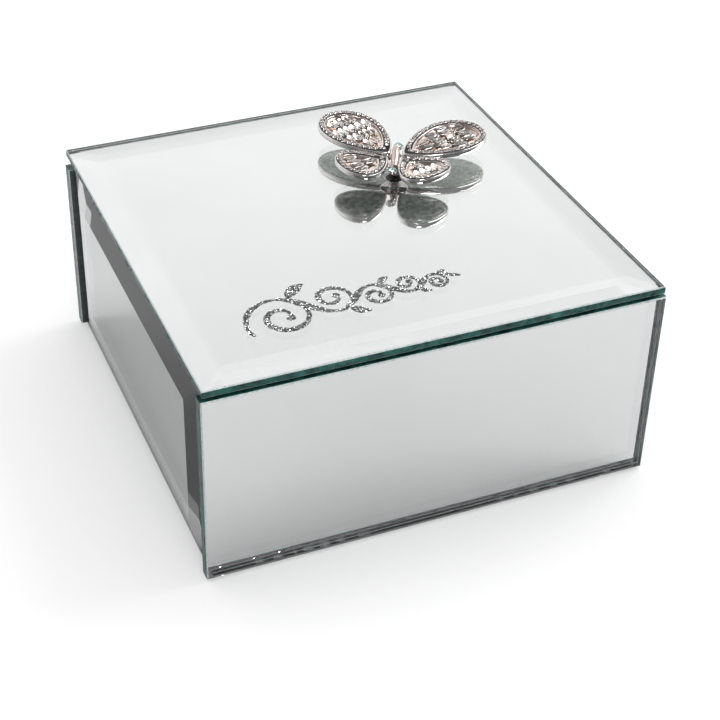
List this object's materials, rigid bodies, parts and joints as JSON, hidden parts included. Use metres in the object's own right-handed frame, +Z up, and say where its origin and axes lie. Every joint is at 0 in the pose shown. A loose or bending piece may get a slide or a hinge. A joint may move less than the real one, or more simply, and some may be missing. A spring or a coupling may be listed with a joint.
{
  "type": "mirrored trinket box",
  "caption": "Low square box faced with bevelled mirror glass, with a hinged mirror lid that carries a jewelled butterfly and a glitter scroll.",
  "frame": {"origin": "middle of the felt base, on the surface that the box stands on", "axes": "+Z up, +X to the right seen from the front, +Y to the back, where the hinges are"},
  "size_m": [0.13, 0.1327, 0.0703],
  "materials": {
    "mirror_glass": "polished mirror glass with a ground green edge",
    "felt": "matte felt",
    "covered_board": "paper covered, matte",
    "velvet": "short pile velvet",
    "hinge_steel": "plated satin",
    "screw_steel": "plated",
    "glitter": "silver glitter",
    "silver_setting": "polished",
    "rose_setting": "polished rose plating",
    "clear_stone": "cut and polished",
    "aqua_stone": "cut and polished"
  },
  "bodies": {
    "box": {"base_felt": "felt", "base_board": "covered_board", "front_wall": "covered_board", "back_wall": "covered_board", "left_wall": "covered_board", "right_wall": "covered_board", "front_glass": "mirror_glass", "back_glass": "mirror_glass", "left_glass": "mirror_glass", "right_glass": "mirror_glass", "floor_pad": "velvet", "front_lining": "velvet", "back_lining": "velvet", "left_lining": "velvet", "right_lining": "velvet", "hinge_left_body_leaf": "hinge_steel", "hinge_right_body_leaf": "hinge_steel", "hinge_left_pin": "hinge_steel", "hinge_right_pin": "hinge_steel", "hinge_body_screws": "screw_steel"},
    "lid": {"hinge_left_lid_leaf": "hinge_steel", "hinge_right_lid_leaf": "hinge_steel", "hinge_lid_screws": "screw_steel", "lid_glass": "mirror_glass", "lid_board": "covered_board", "lid_lining": "velvet", "lid_pad": "velvet", "flourish": "glitter", "butterfly_post": "silver_setting", "butterfly_body": "rose_setting", "left_forewing": "silver_setting", "right_forewing": "silver_setting", "left_hindwing": "silver_setting", "right_hindwing": "silver_setting", "wing_baguettes": "clear_stone", "wing_round_stones": "clear_stone", "body_stones": "aqua_stone"}
  },
  "joints": [
    {"name": "lid_hinge", "type": "hinge", "parent": "box", "child": "lid", "pos_m": [0, 0.0664, 0.0576], "axis": [-1, 0, 0], "range_deg": [0, 100]}
  ]
}
